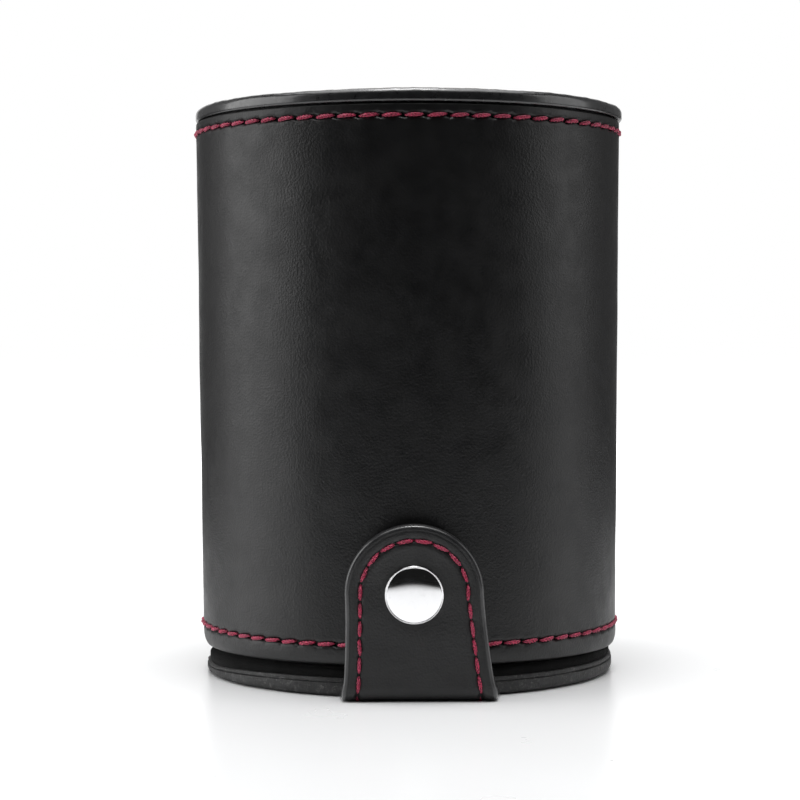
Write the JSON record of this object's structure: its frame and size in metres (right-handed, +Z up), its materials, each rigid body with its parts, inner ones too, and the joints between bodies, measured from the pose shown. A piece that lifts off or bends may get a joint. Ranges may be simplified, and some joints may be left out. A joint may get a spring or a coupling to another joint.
{
  "type": "dice cup",
  "caption": "Leather-covered dice cup with a lined shaking chamber and a storage compartment in its base, closed by a hinged lid and a snap strap.",
  "frame": {"origin": "on the cup's axis, at the plane that the lid stands on", "axes": "+Z up along the cup's axis, -Y towards the strap and snap, +Y towards the leather hinge"},
  "size_m": [0.0816, 0.0866, 0.1069],
  "materials": {
    "sleeve_leather": "black fine-grain leather, satin",
    "rim_leather": "black leather edge with gloss edge paint",
    "strap_leather": "black fine-grain leather with painted edges",
    "lid_leather": "black leather, lightly scuffed",
    "thread": "crimson waxed thread, twisted",
    "chamber_velvet": "crimson velvet",
    "black_felt": "black felt",
    "core_plastic": "moulded, matte",
    "board": "dense grey fibreboard",
    "snap_chrome": "polished chrome",
    "snap_metal": "plated, slightly dull",
    "spring_wire": "bright wire"
  },
  "bodies": {
    "cup": {"core_tube": "core_plastic", "outer_sleeve": "sleeve_leather", "rim_binding": "rim_leather", "partition_board": "board", "chamber_lining": "chamber_velvet", "chamber_floor_pad": "chamber_velvet", "compartment_lining": "black_felt", "compartment_ceiling_pad": "black_felt", "top_stitching": "thread", "bottom_stitching": "thread", "hinge_tab": "strap_leather", "hinge_stitching": "thread", "snap_stud": "snap_metal", "snap_stud_rivet": "snap_metal"},
    "lid": {"lid_cover": "lid_leather", "lid_board": "board", "lid_inner_leather": "lid_leather", "lid_felt": "black_felt", "lid_plug": "board", "lid_plug_pad": "black_felt"},
    "strap": {"strap_lining": "strap_leather", "strap_outer_leather": "strap_leather", "strap_stitching": "thread", "snap_cap": "snap_chrome", "snap_socket": "snap_metal", "snap_spring": "spring_wire"}
  },
  "joints": [
    {"name": "lid_hinge", "type": "hinge", "parent": "cup", "child": "lid", "pos_m": [0, 0.0412, 0.0041], "axis": [1, 0, 0], "range_deg": [0, 150]},
    {"name": "strap_fold", "type": "hinge", "parent": "lid", "child": "strap", "pos_m": [0.0007, -0.04196, 0.00102], "axis": [1, 0, 0], "range_deg": [0, 120]}
  ]
}
